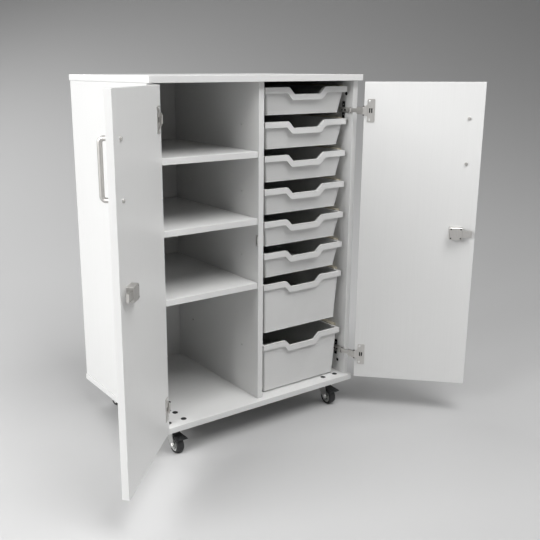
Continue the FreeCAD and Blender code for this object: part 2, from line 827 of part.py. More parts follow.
def make_lock(hand, sign):
    case = new_body(f"{hand}_lock_case")
    middle = "lock_middle"
    near = across(sign, "lock_near")
    far = across(sign, "lock_far")
    levels = (f"{middle} - lock_height / 2", f"{middle} + lock_height / 2")
    box = prism(case, "front", "0", "lock_depth", rectangle(near, far, *levels, "lock_corner"))
    doc.recompute()
    bevel = case.newObject("PartDesign::Chamfer", "Bevel")
    face_edges = [f"Edge{i}" for i, edge in enumerate(box.Shape.Edges, 1)
                  if edge.BoundBox.YMin > number("lock_depth - lock_bevel")]
    bevel.Base = (box, face_edges)
    bind(bevel, "Size", "lock_bevel")
    screws = [(across(sign, s), f"{middle} {side} (lock_height / 2 - lock_screw_inset)")
              for s in ("lock_near + lock_screw_inset", "lock_far - lock_screw_inset") for side in "+-"]
    drill(case, "front", "lock_depth - lock_screw_depth", "lock_depth", screws, "lock_screw")
    latch_base = f"{middle} - latch_height / 2"
    latch_top = f"{middle} + latch_height / 2"
    channel = rectangle("latch_back - latch_play", "latch_front + latch_play",
                        f"{latch_base} - latch_play", f"{latch_top} + latch_play")
    recess(case, "side", *door_span(sign, "lock_far - latch_tail - latch_play", "lock_far"), channel)
    barrel = [(across(sign, "lock_centre"), middle)]
    rods(case, "front", "-door_thickness - rosette_sheet", "0", barrel, "barrel_diameter")
    rods(case, "front", "-door_thickness - rosette_sheet", "-door_thickness", barrel, "rosette_diameter")
    face = "-door_thickness - rosette_sheet"
    drill(case, "front", face, f"{face} + plug_length", barrel, "plug_diameter + 2 * running_fit")
    hang(case, sign)

    latch = new_body(f"{hand}_lock_bolt")
    body_plan = rectangle("latch_back", "latch_front", latch_base, latch_top)
    prism(latch, "side", *door_span(sign, "lock_far - latch_tail", "latch_end"), body_plan)
    hang(latch, sign)

    plug = new_body(f"{hand}_key_plug")
    plug_end = f"{face} + plug_length - running_fit"
    rods(plug, "front", f"{face} - plug_proud", plug_end, barrel, "plug_diameter")
    keyway = rectangle(f"{barrel[0][0]} - keyway_width / 2", f"{barrel[0][0]} + keyway_width / 2",
                       f"{middle} - keyway_height / 2", f"{middle} + keyway_height / 2")
    recess(plug, "front", f"{face} - plug_proud", f"{face} - plug_proud + keyway_depth", keyway)
    hang(plug, sign)


def foot_plan(sign):
    # The foot leaves the end of the link at the angle of the open door.
    below = "-foot_sheet / 2"
    above = "foot_sheet / 2"
    corners = []
    for reach, off in (("0", below), ("foot_length", below), ("foot_length", above), ("0", above)):
        along = f"link_length + {reach} * cos(foot_turn) - ({off}) * sin(foot_turn)"
        corners.append((along, f"{sign} * ({reach} * sin(foot_turn) + ({off}) * cos(foot_turn))"))
    return corners


def make_hinge_links(hand, sign):
    # Drawn along x from the pin, then swung out with the open door.
    links = new_body(f"{hand}_hinge_links")
    for z in hinge_heights():
        low = f"{z} - link_height / 2"
        high = f"{z} + link_height / 2"
        rods(links, "flat", low, high, [("0", "0")], "2 * link_eye")
        bar = rectangle("0", "link_length", "-link_sheet / 2", "link_sheet / 2")
        prism(links, "flat", low, high, bar)
        drill(links, "flat", low, high, [("0", "0")], "arm_pin_diameter + 2 * running_fit")
        half_block = "link_block_sheet / 2"
        block = rectangle("link_block_start", "link_block_end", f"-{half_block}", half_block)
        prism(links, "flat", f"{z} - link_block_height / 2", f"{z} + link_block_height / 2", block)
        prism(links, "flat", f"{z} - foot_wide / 2", f"{z} + foot_wide / 2", foot_plan(sign))
        for side in "+-":
            waste = [
                ("link_block_end", f"{z} {side} foot_narrow / 2"),
                ("foot_end", f"{z} {side} foot_wide / 2"),
                ("link_block_end", f"{z} {side} foot_wide / 2"),
            ]
            recess(links, "front", "-foot_length", "foot_length", waste)
    swing = "link_swing" if sign > 0 else "180 deg - link_swing"
    place(links, f"{sign} * arm_pin_x", "arm_pin_y", "door_z", swing)


def make_hinge_mounts():
    wings = new_body("hinge_wing_plates")
    arms = new_body("hinge_arms")
    for sign in HANDS.values():
        for height in hinge_heights():
            z = f"door_z + {height}"
            wing_plate(wings, sign, z)
            hinge_arm(arms, sign, z)


def wing_plate(body, sign, z):
    sheet_span = outward(sign, "side_in - wing_sheet", "side_in")
    prism(body, "side", *sheet_span, around("wing_y", "wing_width", z, "wing_height", "arm_sheet"))
    prism(body, "side", *sheet_span, around("wing_y", "wing_base", z, "2 * arm_inside"))
    for side in "+-":
        level = f"{z} {side} wing_slot_spread / 2"
        slot = around("wing_y", "wing_slot", level, "wing_slot_length", "wing_slot_round")
        recess(body, "side", *sheet_span, slot)


def hinge_arm(body, sign, z):
    root = f"{sign} * (side_in - wing_sheet)"
    crest = f"{sign} * (side_in - arm_depth)"
    crest_inside = f"{sign} * (side_in - arm_depth + arm_sheet)"
    inside = "arm_inside"
    outside = "arm_outside"
    channel = [
        (root, f"{z} - {outside}"), (crest, f"{z} - {outside}"), (crest, f"{z} + {outside}"),
        (root, f"{z} + {outside}"), (root, f"{z} + {inside}"), (crest_inside, f"{z} + {inside}"),
        (crest_inside, f"{z} - {inside}"), (root, f"{z} - {inside}"),
    ]
    prism(body, "front", "arm_pin_y + link_eye + link_play", "arm_pin_y + arm_length", channel)
    cheek_end = "arm_pin_y + link_eye + 2 * link_play"
    cheek = rectangle(crest, root, "arm_pin_y - arm_nose", cheek_end, "arm_sheet")
    prism(body, "flat", f"{z} - {outside}", f"{z} - {inside}", cheek)
    prism(body, "flat", f"{z} + {inside}", f"{z} + {outside}", cheek)
    pin = [(f"{sign} * arm_pin_x", "arm_pin_y")]
    rods(body, "flat", f"{z} - {outside}", f"{z} + {outside}", pin, "arm_pin_diameter")


# Castors: drawn about the swivel axis, wheel trailing to the front

def make_castor_mounts():
    plates = new_body("castor_plates")
    bolts = new_body("castor_bolts")
    for sign, y in CASTORS.values():
        x = f"{sign} * castor_x"
        half = "castor_plate / 2"
        across_plate = (f"{x} - {half}", f"{x} + {half}")
        along_plate = (f"{y} - {half}", f"{y} + {half}")
        corners = rectangle(*across_plate, *along_plate, "castor_plate_corner")
        prism(plates, "flat", "plate_z", "castor_height", corners)
        bolt_hole = "castor_bolt + 2 * castor_bolt_fit"
        drill(plates, "flat", "plate_z", "castor_height", bolt_centres(x, y), bolt_hole)
        head_top = "fork_crown - swivel_play"
        head_base = f"{head_top} - kingpin_head_height"
        rods(plates, "flat", head_base, "plate_z", [(x, y)], "kingpin")
        rods(plates, "flat", head_base, head_top, [(x, y)], "kingpin_head")
    seat = "deck_z - counterbore_depth"
    rods(bolts, "flat", seat, f"{seat} + castor_bolt_head_height", all_bolt_centres(), "castor_bolt_head")
    rods(bolts, "flat", "plate_z - castor_nut_height", seat, all_bolt_centres(), "castor_bolt")
    rods(bolts, "flat", "plate_z - castor_nut_height", "plate_z", all_bolt_centres(), "castor_nut")


def make_fork(name, braked):
    fork = new_body(f"{name}_castor_fork")
    reach = "fork_crown_reach"
    prism(fork, "flat", "fork_crown", "crown_top", rectangle("-fork_out", "fork_out", f"-{reach}", reach))
    rods(fork, "flat", "crown_top", "plate_z - swivel_play", [("0", "0")], "race_diameter")
    axle_y = "-castor_trail"
    leg = [
        (reach, "crown_top"),
        (f"{axle_y} + fork_toe", "wheel_radius - fork_toe", "fork_shoulder"),
        (f"{axle_y} - fork_toe", "wheel_radius - fork_toe", "fork_shoulder"),
        (f"{axle_y} - fork_toe", "wheel_radius + fork_toe", "fork_shoulder"),
        (f"-{reach}", "crown_top"),
    ]
    prism(fork, "side", "fork_half", "fork_out", leg)
    prism(fork, "side", "-fork_out", "-fork_half", leg)
    drill(fork, "flat", "fork_crown", "plate_z", [("0", "0")], "kingpin + 2 * running_fit")
    axle_hole = "axle_diameter + 2 * running_fit"
    drill(fork, "side", "-fork_out", "fork_out", [(axle_y, "wheel_radius")], axle_hole)
    if braked:
        pin = [("-pedal_pivot_back", "pedal_pivot_height")]
        rods(fork, "side", "-fork_out", "fork_out", pin, "pedal_pin")
    return fork


def make_axle(name):
    axle = new_body(f"{name}_castor_axle")
    middle = [("0", "0")]
    end = "fork_out + axle_head_height"
    rods(axle, "side", f"-({end})", end, middle, "axle_diameter")
    rods(axle, "side", f"-({end})", "-fork_out", middle, "axle_head")
    rods(axle, "side", "fork_out", end, middle, "axle_head")
    return axle


def make_wheel(name):
    wheel = new_body(f"{name}_castor_wheel")
    bore = "axle_diameter / 2 + running_fit"
    boss = "hub_boss / 2"
    rim = "tyre_seat - hub_rim"
    ends = ("hub_boss_width / 2", "hub_web / 2", "hub_rim_width / 2")
    right = [
        (ends[0], bore), (ends[0], boss), (ends[1], boss),
        (ends[1], rim), (ends[2], rim), (ends[2], "tyre_seat"),
    ]
    left = [(f"-{x}", radius) for x, radius in right[::-1]]
    turned(wheel, right + left)
    around_hub = [(f"hub_hole_circle / 2 * cos({i} * 360 / {HUB_HOLES})",
                   f"hub_hole_circle / 2 * sin({i} * 360 / {HUB_HOLES})") for i in range(HUB_HOLES)]
    drill(wheel, "side", "-hub_web / 2", "hub_web / 2", around_hub, "hub_hole")
    return wheel


def make_tyre(name):
    tyre = new_body(f"{name}_castor_tyre")
    edge = "wheel_width / 2"
    turned(tyre, [
        (f"-{edge}", "tyre_seat"),
        (edge, "tyre_seat"),
        (edge, "wheel_radius", "tyre_round"),
        (f"-{edge}", "wheel_radius", "tyre_round"),
    ])
    return tyre


def make_pedal(name):
    pedal = new_body(f"{name}_castor_pedal")
    back = "-pedal_pivot_back"
    tip = "-pedal_reach"
    blade = [
        (back, "pedal_top"),
        (back, "pedal_base"),
        (tip, "pedal_base - pedal_fall"),
        (tip, "pedal_top - pedal_fall"),
    ]
    prism(pedal, "side", "-pedal_tip / 2", "pedal_tip / 2", blade)
    # The blade is narrow between the fork legs and flares to its tip.
    for side in ("", "-"):
        waste = [
            (f"{side}pedal_half", "0"),
            (f"{side}pedal_tip", "0"),
            (f"{side}pedal_tip", tip),
            (f"{side}pedal_tip / 2", tip),
            (f"{side}pedal_half", "-pedal_neck", "pedal_flare"),
        ]
        recess(pedal, "flat", "0", "fork_crown", waste)
    pivot = [(back, "pedal_pivot_height")]
    rods(pedal, "side", "-pedal_half", "pedal_half", pivot, "pedal_hub")
    shoe_top = "pedal_base - pedal_fall / 3"
    shoe = rectangle("-shoe_end", "-shoe_start", "wheel_diameter + shoe_gap", shoe_top)
    prism(pedal, "side", "-shoe_width / 2", "shoe_width / 2", shoe)
    drill(pedal, "side", "-pedal_half", "pedal_half", pivot, "pedal_pin + 2 * running_fit")
    return pedal


def make_castors():
    make_castor_mounts()
    for name, (sign, y) in CASTORS.items():
        braked = y == "castor_front"
        x = f"{sign} * castor_x"
        place(make_fork(name, braked), x, y, "0")
        for piece in (make_axle(name), make_wheel(name), make_tyre(name)):
            place(piece, x, f"{y} - castor_trail", "wheel_radius")
        if braked:
            place(make_pedal(name), x, y, "0")


def check_document():
    for thing in doc.Objects:
        if {"Invalid", "Error"} & set(thing.State):
            raise RuntimeError(f"{thing.Label} failed: {thing.State}")
        if thing.TypeId in ("PartDesign::Pocket", "PartDesign::SubtractiveLoft"):
            if thing.Shape.Volume >= thing.BaseFeature.Shape.Volume:
                raise RuntimeError(f"{thing.Label} cuts nothing")
    for piece in pieces:
        if piece.Shape.isNull() or not piece.Shape.isValid():
            raise RuntimeError(f"{piece.Label} has no sound shape")


def main():
    fill_sheet()
    make_carcass()
    make_strike_plates()
    make_shelf_pins()
    make_cam_fittings()
    make_tray_runners()
    make_trays()
    make_hinge_mounts()
    for hand, sign in HANDS.items():
        make_door(hand, sign)
        make_handle(hand, sign)
        make_hinge_cups(hand, sign)
        make_lock(hand, sign)
        make_hinge_links(hand, sign)
    make_castors()
    doc.removeObject(working.Name)
    doc.recompute()
    check_document()
    os.makedirs("parts", exist_ok=True)
    for piece in pieces:
        piece.Shape.exportStep(os.path.join("parts", piece.Label + ".step"))
    print(len(pieces), "pieces written")


main()
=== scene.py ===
import bpy
import bmesh
import json
import math
from mathutils import Matrix, Vector


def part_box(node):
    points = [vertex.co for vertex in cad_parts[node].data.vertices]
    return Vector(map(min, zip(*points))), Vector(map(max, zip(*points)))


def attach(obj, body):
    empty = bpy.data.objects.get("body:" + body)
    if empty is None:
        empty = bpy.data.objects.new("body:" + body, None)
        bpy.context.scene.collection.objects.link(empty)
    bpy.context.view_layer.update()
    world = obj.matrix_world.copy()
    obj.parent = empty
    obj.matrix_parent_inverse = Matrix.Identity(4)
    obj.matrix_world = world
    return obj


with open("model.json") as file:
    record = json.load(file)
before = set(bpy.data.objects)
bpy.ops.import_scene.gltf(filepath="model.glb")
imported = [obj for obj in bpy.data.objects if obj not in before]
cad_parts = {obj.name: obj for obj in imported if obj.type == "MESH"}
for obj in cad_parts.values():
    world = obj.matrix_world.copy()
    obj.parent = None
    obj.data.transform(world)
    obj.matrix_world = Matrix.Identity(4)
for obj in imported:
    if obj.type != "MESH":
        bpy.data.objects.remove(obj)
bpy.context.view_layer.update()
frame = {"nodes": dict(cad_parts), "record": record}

nodes = frame["nodes"]
jointRows = {row["name"]: row for row in frame["record"]["behaviour"]["joints"]}
hands = {"left": -1, "right": 1}  # which side of the middle, along x
mm = 0.001
scene = bpy.context.scene
scene.view_settings.view_transform = "Standard"
print("frame loaded:", len(nodes), "nodes")


# camera at the photograph's viewpoint: left of the open cabinet, just above its top
viewpoint = {
    "place": (-1.2768, -1.8382, 1.0904),  # metres
    "yaw": 34.97,  # degrees to the right of straight ahead
    "tilt": -14.86,  # degrees
    "lens": 50.2,
    "sensor": 36,
    "shift": (0.0471, -0.0047),
    "clipEnd": 50,  # metres
}


def setCamera(view):
    data = bpy.data.cameras.new("viewpoint")
    data.lens = view["lens"]
    data.sensor_width = view["sensor"]
    data.shift_x, data.shift_y = view["shift"]
    data.clip_end = view["clipEnd"]
    camera = bpy.data.objects.new("viewpoint", data)
    camera.location = view["place"]
    camera.rotation_euler = (math.radians(90 + view["tilt"]), 0, math.radians(-view["yaw"]))
    scene.collection.objects.link(camera)
    scene.camera = camera


setCamera(viewpoint)
print("camera set")


# colour and node helpers
def hexToLinear(code):
    channels = [int(code[i:i + 2], 16) / 255 for i in (1, 3, 5)]
    linear = [c / 12.92 if c <= 0.04045 else ((c + 0.055) / 1.055) ** 2.4 for c in channels]
    return (*linear, 1)


def addNode(tree, kind, settings, links=None):
    node = tree.nodes.new(kind)
    for name, value in settings.items():
        if hasattr(node, name):
            setattr(node, name, value)
        else:
            node.inputs[name].default_value = value
    for name, source in (links or {}).items():
        tree.links.new(source, node.inputs[name])
    return node


def newMaterial(name, **shader):
    material = bpy.data.materials.new(name)
    material.use_nodes = True
    tree = material.node_tree
    surface = tree.nodes["Principled BSDF"]
    for socket, value in shader.items():
        surface.inputs[socket].default_value = value
    return material, tree, surface


def perMetre(millimetres):
    return 1000 / millimetres


cellGrains = 2  # a cell of noise spans one light grain and one dark
edgeSamples = 6


# melamine-faced chipboard, hot-pressed on a satin plate: even white, a faint drawn grain under a soft sheen
boardFinish = {
    "white": "#DFDFDE",
    "shade": "#D8D8D7",
    "roughness": 0.31,
    "glossDip": 0.05, "glossRise": 0.06,
    "grainWidth": 2.2,  # mm, drawn coarser than the real pores so that it shows
    "grainRun": 190,  # mm
    "grainHeight": 0.02,  # mm
    "grainStrength": 0.35,
    "cloud": 180,  # mm
}


# run is the axis that the grain follows, 0 for x and 2 for z
def melamineBoard(name, run):
    finish = boardFinish
    material, tree, surface = newMaterial(name, IOR=1.52)
    place = addNode(tree, "ShaderNodeTexCoord", {})
    scale = [perMetre(finish["grainWidth"])] * 3
    scale[run] = perMetre(finish["grainRun"])
    drawn = addNode(tree, "ShaderNodeMapping", {"Scale": scale}, {"Vector": place.outputs["Object"]})
    grain = addNode(tree, "ShaderNodeTexNoise", {"Scale": 1, "Detail": 5, "Roughness": 0.6},
                    {"Vector": drawn.outputs["Vector"]})
    clouds = addNode(tree, "ShaderNodeTexNoise", {"Scale": perMetre(finish["cloud"]), "Detail": 2},
                     {"Vector": place.outputs["Object"]})
    low, high = hexToLinear(finish["shade"]), hexToLinear(finish["white"])
    tint = addNode(tree, "ShaderNodeMix", {"data_type": "RGBA", "A": low, "B": high},
                   {"Factor": grain.outputs["Fac"]})
    tree.links.new(tint.outputs["Result"], surface.inputs["Base Color"])
    roughness = finish["roughness"]
    sheen = addNode(tree, "ShaderNodeMapRange",
                    {"To Min": roughness - finish["glossDip"], "To Max": roughness + finish["glossRise"]},
                    {"Value": clouds.outputs["Fac"]})
    tree.links.new(sheen.outputs["Result"], surface.inputs["Roughness"])
    press = addNode(tree, "ShaderNodeBump",
                    {"Strength": finish["grainStrength"], "Distance": finish["grainHeight"] * mm},
                    {"Height": grain.outputs["Fac"]})
    tree.links.new(press.outputs["Normal"], surface.inputs["Normal"])
    return material


uprightBoard = melamineBoard("melamine board, upright grain", 2)
levelBoard = melamineBoard("melamine board, level grain", 0)


# moulded or extruded plastic and rubber: satin from the mould's or die's skin, slow flow clouds in
# the colour and the gloss
mouldedSkin = {"flow": 120, "swirl": 0.8, "glossSwing": 0.06, "gritStrength": 0.25}  # flow in mm


# grit, gritHeight and edge are in mm; the grit is drawn coarser than the real one so that it shows
def mouldedPlastic(name, finish):
    material, tree, surface = newMaterial(name, IOR=1.5)
    place = addNode(tree, "ShaderNodeTexCoord", {})
    grit = addNode(tree, "ShaderNodeTexNoise", {"Scale": perMetre(finish["grit"] * cellGrains), "Detail": 3},
                   {"Vector": place.outputs["Object"]})
    flow = addNode(tree, "ShaderNodeTexNoise",
                   {"Scale": perMetre(mouldedSkin["flow"]), "Detail": 2, "Distortion": mouldedSkin["swirl"]},
                   {"Vector": place.outputs["Object"]})
    low, high = hexToLinear(finish["shade"]), hexToLinear(finish["pale"])
    tint = addNode(tree, "ShaderNodeMix", {"data_type": "RGBA", "A": low, "B": high},
                   {"Factor": flow.outputs["Fac"]})
    tree.links.new(tint.outputs["Result"], surface.inputs["Base Color"])
    roughness, swing = finish["roughness"], mouldedSkin["glossSwing"]
    gloss = addNode(tree, "ShaderNodeMapRange", {"To Min": roughness - swing, "To Max": roughness + swing},
                    {"Value": flow.outputs["Fac"]})
    tree.links.new(gloss.outputs["Result"], surface.inputs["Roughness"])
    softEdge = addNode(tree, "ShaderNodeBevel", {"samples": edgeSamples, "Radius": finish["edge"] * mm})
    skin = addNode(tree, "ShaderNodeBump",
                   {"Strength": mouldedSkin["gritStrength"], "Distance": finish["gritHeight"] * mm},
                   {"Height": grit.outputs["Fac"], "Normal": softEdge.outputs["Normal"]})
    tree.links.new(skin.outputs["Normal"], surface.inputs["Normal"])
    return material


trayPlastic = mouldedPlastic("polystyrene, satin moulded", {
    "pale": "#DCDCDB", "shade": "#D3D3D2", "roughness": 0.36,
    "grit": 0.9, "gritHeight": 0.03, "edge": 0.9,
})
runnerPlastic = mouldedPlastic("polypropylene, extruded cream", {
    "pale": "#C9C2B0", "shade": "#BDB5A1", "roughness": 0.45,
    "grit": 1.5, "gritHeight": 0.02, "edge": 0.5,
})
hubPlastic = mouldedPlastic("nylon, moulded pale hub", {
    "pale": "#CFD0CE", "shade": "#BFC0BE", "roughness": 0.4,
    "grit": 1.2, "gritHeight": 0.03, "edge": 0.5,
})
pedalPlastic = mouldedPlastic("nylon, moulded black", {
    "pale": "#1B1C1E", "shade": "#121314", "roughness": 0.38,
    "grit": 1.0, "gritHeight": 0.05, "edge": 0.7,
})
tyreRubber = mouldedPlastic("rubber, moulded black tread", {
    "pale": "#242425", "shade": "#18181A", "roughness": 0.62,
    "grit": 1.2, "gritHeight": 0.08, "edge": 0.6,
})


# plated and brushed steel: satin nickel and stainless with drawn lines, bright zinc with a slight spangle,
# blackened zinc that stays dull, all with a thin glint along the edges
steelSkin = {"glossSwing": 0.08, "lineStrength": 0.2, "lineHeight": 0.02}  # lineHeight in mm
brushedUpright = (1, 1, 0.1)  # lines ten times as long along z
spangled = (1, 1, 1)


# line and edge are in mm; the lines are drawn coarser than real brush marks so that they show
def platedSteel(name, finish):
    material, tree, surface = newMaterial(name, Metallic=1.0)
    place = addNode(tree, "ShaderNodeTexCoord", {})
    brushed = addNode(tree, "ShaderNodeMapping", {"Scale": finish["stretch"]},
                      {"Vector": place.outputs["Object"]})
    lines = addNode(tree, "ShaderNodeTexNoise", {"Scale": perMetre(finish["line"] * cellGrains), "Detail": 4},
                    {"Vector": brushed.outputs["Vector"]})
    low, high = hexToLinear(finish["shade"]), hexToLinear(finish["bright"])
    tint = addNode(tree, "ShaderNodeMix", {"data_type": "RGBA", "A": low, "B": high},
                   {"Factor": lines.outputs["Fac"]})
    tree.links.new(tint.outputs["Result"], surface.inputs["Base Color"])
    roughness, swing = finish["roughness"], steelSkin["glossSwing"]
    gloss = addNode(tree, "ShaderNodeMapRange", {"To Min": roughness - swing, "To Max": roughness + swing},
                    {"Value": lines.outputs["Fac"]})
    tree.links.new(gloss.outputs["Result"], surface.inputs["Roughness"])
    softEdge = addNode(tree, "ShaderNodeBevel", {"samples": edgeSamples, "Radius": finish["edge"] * mm})
    scratch = addNode(tree, "ShaderNodeBump",
                      {"Strength": steelSkin["lineStrength"], "Distance": steelSkin["lineHeight"] * mm},
                      {"Height": lines.outputs["Fac"], "Normal": softEdge.outputs["Normal"]})
    tree.links.new(scratch.outputs["Normal"], surface.inputs["Normal"])
    return material


nickelSteel = platedSteel("nickel-plated steel, satin", {
    "bright": "#D2D0CD", "shade": "#BDBBB8", "roughness": 0.36,
    "line": 0.8, "edge": 0.4, "stretch": brushedUpright,
})
zincSteel = platedSteel("zinc-plated steel, pressed", {
    "bright": "#EAEAE8", "shade": "#D2D2D0", "roughness": 0.34,
    "line": 2.5, "edge": 0.5, "stretch": spangled,
})
handleSteel = platedSteel("stainless steel, satin brushed", {
    "bright": "#C6C4C1", "shade": "#B0AEAB", "roughness": 0.44,
    "line": 0.8, "edge": 0.4, "stretch": brushedUpright,
})
blackZinc = platedSteel("zinc alloy, blackened", {
    "bright": "#333334", "shade": "#1E1E1F", "roughness": 0.5,
    "line": 1.0, "edge": 0.4, "stretch": spangled,
})
print("materials mixed")


# finishes of the CAD pieces
levelPieces = ("top_panel", "bottom_panel", "upper_shelf", "middle_shelf", "lower_shelf")
slotFinish = {
    "white_board": uprightBoard,
    "tray_plastic": trayPlastic,
    "cream_plastic": runnerPlastic,
    "nickel_steel": nickelSteel,
    "zinc_steel": zincSteel,
    "dark_zinc": blackZinc,
    "hub_plastic": hubPlastic,
    "black_rubber": tyreRubber,
    "black_plastic": pedalPlastic,
}


def dressNodes():
    for row in frame["record"]["subparts"]:
        piece = nodes[row["node"]]
        finish = slotFinish[row["material_slot"]]
        if row["node"] in levelPieces:
            finish = levelBoard
        elif row["node"].endswith("_handle"):
            finish = handleSteel
        piece.data.materials.clear()
        piece.data.materials.append(finish)


dressNodes()
print("pieces dressed")


# mesh helpers
crispAngle = 35  # degrees: turned faces run smooth, chamfers stay crisp


def finishPiece(form, name, slot, body, finish=None):
    mesh = bpy.data.meshes.new(name)
    bmesh.ops.recalc_face_normals(form, faces=form.faces)
    form.to_mesh(mesh)
    form.free()
    mesh.shade_smooth()
    mesh.set_sharp_from_angle(angle=math.radians(crispAngle))
    mesh.materials.append(finish or slotFinish[slot])
    piece = bpy.data.objects.new(name, mesh)
    scene.collection.objects.link(piece)
    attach(piece, body)


def labelOf(name):
    first, *others = name.split("_")
    return first + "".join(word.capitalize() for word in others)


def standing(place, axis, spin):
    turn = Vector(axis).to_track_quat("Z", "Y").to_matrix().to_4x4()
    seat = Matrix.Translation(Vector(place)) @ turn
    return seat @ Matrix.Rotation(math.radians(spin), 4, "Z") @ Matrix.Scale(mm, 4)


def ringOf(form, seat, radius, height, count):
    turns = [math.tau * i / count for i in range(count)]
    points = [Vector((radius * math.cos(a), radius * math.sin(a), height)) for a in turns]
    return [form.verts.new(seat @ point) for point in points]


def skinRings(form, rings):
    for low, high in zip(rings, rings[1:]):
        for i in range(len(low)):
            after = (i + 1) % len(low)
            form.faces.new((low[i], low[after], high[after], high[i]))


def capEnds(form, rings):
    form.faces.new(rings[0])
    form.faces.new(rings[-1])


def loopEdges(form, ring):
    return [form.edges.get((a, b)) or form.edges.new((a, b)) for a, b in zip(ring, ring[1:] + ring[:1])]


# cross-recess screw head, standing on the surface along z
crossForm = {
    "sides": 24,
    "reach": 0.55, "slim": 0.14,  # half length and half width of the recess, as shares of the head's radius
    "taper": 0.8,  # the recess at its foot, as a share of its mouth
}


def crossHead(form, seat, head):
    radius, height = head["diameter"] / 2, head["height"]
    levels = ((radius, 0), (radius, height * head["wall"]), (radius * head["crown"], height))
    foot, wall, crown = (ringOf(form, seat, r, h, crossForm["sides"]) for r, h in levels)
    skinRings(form, [foot, wall, crown])
    form.faces.new(foot)
    reach, slim = radius * crossForm["reach"], radius * crossForm["slim"]
    plan = [(slim, slim), (slim, reach), (-slim, reach), (-slim, slim), (-reach, slim), (-reach, -slim),
            (-slim, -slim), (-slim, -reach), (slim, -reach), (slim, -slim), (reach, -slim), (reach, slim)]
    mouth = [form.verts.new(seat @ Vector((x, y, height))) for x, y in plan]
    taper, depth = crossForm["taper"], height - head["recess"]
    base = [form.verts.new(seat @ Vector((x * taper, y * taper, depth))) for x, y in plan]
    bmesh.ops.triangle_fill(form, edges=loopEdges(form, crown) + loopEdges(form, mouth), use_beauty=True)
    skinRings(form, [mouth, base])
    form.faces.new(base)


# chamfered hexagon with the end of its bolt
hexForm = {
    "shoulder": 0.82, "crown": 0.9,  # where the chamfer starts and how far it draws in, as shares
    "threadSides": 18, "threadRun": 0.6, "threadEnd": 0.85,  # the same for the bolt's end
}


def hexHead(form, seat, nut):
    height, thread, sides = nut["height"], nut["thread"] / 2, hexForm["threadSides"]
    corner = nut["flats"] / 2 / math.cos(math.radians(30))
    levels = ((corner, 0), (corner, height * hexForm["shoulder"]), (corner * hexForm["crown"], height))
    foot, shoulder, crown = (ringOf(form, seat, r, h, 6) for r, h in levels)
    skinRings(form, [foot, shoulder, crown])
    form.faces.new(foot)
    mouth = ringOf(form, seat, thread, height, sides)
    bmesh.ops.triangle_fill(form, edges=loopEdges(form, crown) + loopEdges(form, mouth), use_beauty=True)
    tip = ringOf(form, seat, thread * hexForm["threadEnd"], height + nut["proud"], sides)
    bend = ringOf(form, seat, thread, height + nut["proud"] * hexForm["threadRun"], sides)
    skinRings(form, [mouth, bend, tip])
    form.faces.new(tip)


# turned plug or pin about its middle, with chamfered and dished ends
pinForm = {"sides": 20, "dish": 0.5, "rim": 0.8}  # the last two as shares of the radius


def turnedPin(form, seat, pin):
    radius, half = pin["diameter"] / 2, pin["length"] / 2
    end = [(pinForm["dish"], half - pin["dish"]), (pinForm["rim"], half), (1, half - pin["chamfer"])]
    profile = [(share, -height) for share, height in end] + end[::-1]
    rings = [ringOf(form, seat, radius * share, height, pinForm["sides"]) for share, height in profile]
    skinRings(form, rings)
    capEnds(form, rings)


# low domed rib along x with drawn-in ends, standing along z
ribForm = {"steps": 8, "drawnFrom": 0.96, "drawnTo": 0.3}  # the last two as shares of half span and section


def domedRib(form, seat, rib, halfSpan):
    turns = [math.pi * i / ribForm["steps"] for i in range(ribForm["steps"] + 1)]
    arc = [(rib["width"] / 2 * math.cos(a), rib["height"] * math.sin(a)) for a in turns]
    near, slim = ribForm["drawnFrom"], ribForm["drawnTo"]
    rings = []
    for side, shrink in ((-1, slim), (-near, 1), (near, 1), (1, slim)):
        section = [Vector((side * halfSpan, y * shrink, z * shrink - rib["sink"])) for y, z in arc]
        rings.append([form.verts.new(seat @ point) for point in section])
    skinRings(form, rings)
    capEnds(form, rings)


headSpin = {"first": 17, "step": 41}  # degrees, so that neighbouring recesses do not line up


def headsPiece(name, slot, body, places, head, shape=crossHead, finish=None):
    form = bmesh.new()
    for i, (place, axis) in enumerate(places):
        shape(form, standing(place, axis, headSpin["first"] + headSpin["step"] * i), head)
    finishPiece(form, name, slot, body, finish)


# the open doors, in degrees and mm as their pivots are set
doorPlan = {"open": 135, "pivotOut": 6.8, "pivotForward": 22.3, "meetingGap": 3}


def doorAxes(hand):
    sign = hands[hand]
    turn = math.radians(doorPlan["open"])
    along = Vector((-sign * math.cos(turn), -math.sin(turn), 0))
    outward = Vector((-sign * math.sin(turn), math.cos(turn), 0))
    return along, outward


# s runs from the hinge edge along the inner face, q stands out from it, z is above the door's foot
def onDoor(hand, s, q, z):
    along, outward = doorAxes(hand)
    pivot = Vector(jointRows[f"{hand}_door_swing"]["pos_m"])
    corner = pivot + along * doorPlan["pivotOut"] * mm + outward * doorPlan["pivotForward"] * mm
    corner.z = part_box(f"{hand}_door")[0][2]
    return corner + along * s * mm + outward * q * mm + Vector((0, 0, z * mm))


